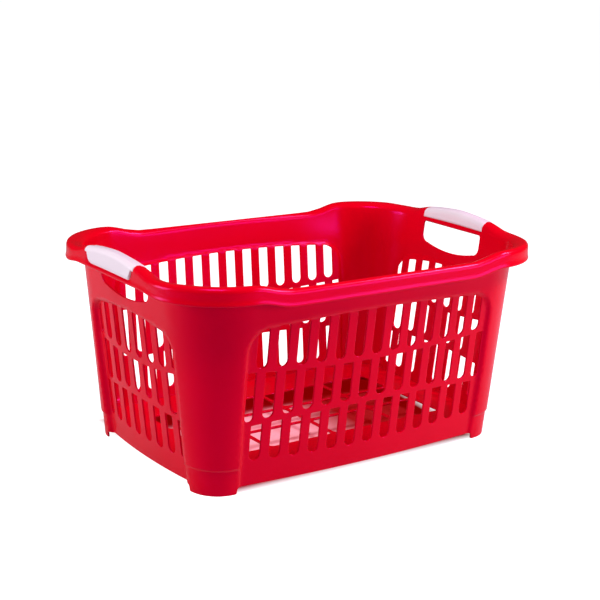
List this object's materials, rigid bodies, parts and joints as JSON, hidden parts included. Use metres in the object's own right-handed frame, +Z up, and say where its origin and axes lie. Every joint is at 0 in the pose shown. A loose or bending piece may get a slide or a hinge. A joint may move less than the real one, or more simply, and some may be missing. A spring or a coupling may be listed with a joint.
{
  "type": "plastic carrying basket",
  "caption": "Open red plastic basket with slotted, outward-leaning walls, a raised rim with a turned-down skirt and a white grip over a hand hole at each end.",
  "frame": {"origin": "centre of the basket's footprint, on the floor plane under its four corner feet", "axes": "+X along the length, towards the right-hand grip; +Y across the width, towards the rear long side; +Z up"},
  "size_m": [0.5416, 0.366, 0.2693],
  "materials": {
    "red_plastic": "moulded polypropylene, light gloss",
    "grip_white": "soft-touch moulded grip, smooth"
  },
  "bodies": {
    "root": {"base_grid": "red_plastic", "front_panel": "red_plastic", "rear_panel": "red_plastic", "left_panel": "red_plastic", "right_panel": "red_plastic", "front_band": "red_plastic", "rear_band": "red_plastic", "left_band": "red_plastic", "right_band": "red_plastic", "front_left_post": "red_plastic", "front_right_post": "red_plastic", "rear_left_post": "red_plastic", "rear_right_post": "red_plastic", "front_rim": "red_plastic", "rear_rim": "red_plastic", "left_rim": "red_plastic", "right_rim": "red_plastic", "front_left_rim_corner": "red_plastic", "front_right_rim_corner": "red_plastic", "rear_left_rim_corner": "red_plastic", "rear_right_rim_corner": "red_plastic", "left_grip": "grip_white", "right_grip": "grip_white"}
  },
  "joints": []
}
